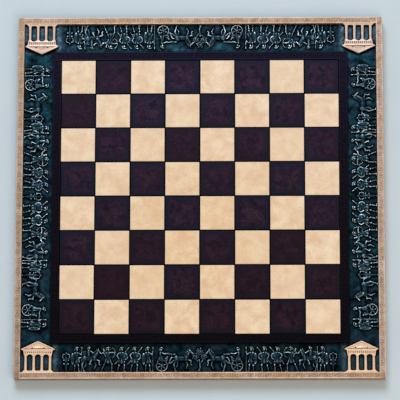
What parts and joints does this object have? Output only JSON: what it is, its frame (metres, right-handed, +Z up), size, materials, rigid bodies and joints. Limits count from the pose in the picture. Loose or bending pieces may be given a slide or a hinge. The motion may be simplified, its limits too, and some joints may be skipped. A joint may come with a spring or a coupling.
{
  "type": "chessboard",
  "caption": "Square chessboard with inlaid leather-look squares in a beaded moulding, a cast relief band of antique figures, a bronze rim and corner temples.",
  "frame": {"origin": "centre of the underside, where the felt meets the table", "axes": "+Z up through the playing surface, -Y towards the front side, +X to the right; the near left square is dark"},
  "size_m": [0.442, 0.442, 0.016],
  "materials": {
    "felt": "black felt",
    "panel_wood": "plain fibreboard, hidden",
    "black_board": "matt black paint",
    "rail_bronze": "satin bronze plating with polished edge lines",
    "temple_bronze": "satin pale bronze plating",
    "relief_patina": "dark blue-green patina, rubbed bright on the high points",
    "moulding_black": "satin black with a wine-red cast",
    "light_leather": "smooth tanned leather look, softly mottled",
    "dark_leather": "dark burgundy leather look, darker towards its edges",
    "screw_steel": "zinc plated, hidden"
  },
  "bodies": {
    "root": {"felt_backing": "felt", "base_panel": "panel_wood", "field_board": "black_board", "rim_rail_front": "rail_bronze", "rim_rail_back": "rail_bronze", "rim_rail_left": "rail_bronze", "rim_rail_right": "rail_bronze", "relief_front": "relief_patina", "relief_back": "relief_patina", "relief_left": "relief_patina", "relief_right": "relief_patina", "temple_front_left": "temple_bronze", "temple_front_right": "temple_bronze", "temple_back_left": "temple_bronze", "temple_back_right": "temple_bronze", "border_front": "moulding_black", "border_back": "moulding_black", "border_left": "moulding_black", "border_right": "moulding_black", "light_squares_rank_1": "light_leather", "light_squares_rank_2": "light_leather", "light_squares_rank_3": "light_leather", "light_squares_rank_4": "light_leather", "light_squares_rank_5": "light_leather", "light_squares_rank_6": "light_leather", "light_squares_rank_7": "light_leather", "light_squares_rank_8": "light_leather", "dark_squares_rank_1": "dark_leather", "dark_squares_rank_2": "dark_leather", "dark_squares_rank_3": "dark_leather", "dark_squares_rank_4": "dark_leather", "dark_squares_rank_5": "dark_leather", "dark_squares_rank_6": "dark_leather", "dark_squares_rank_7": "dark_leather", "dark_squares_rank_8": "dark_leather", "rim_screws": "screw_steel", "border_screws": "screw_steel"}
  },
  "joints": []
}
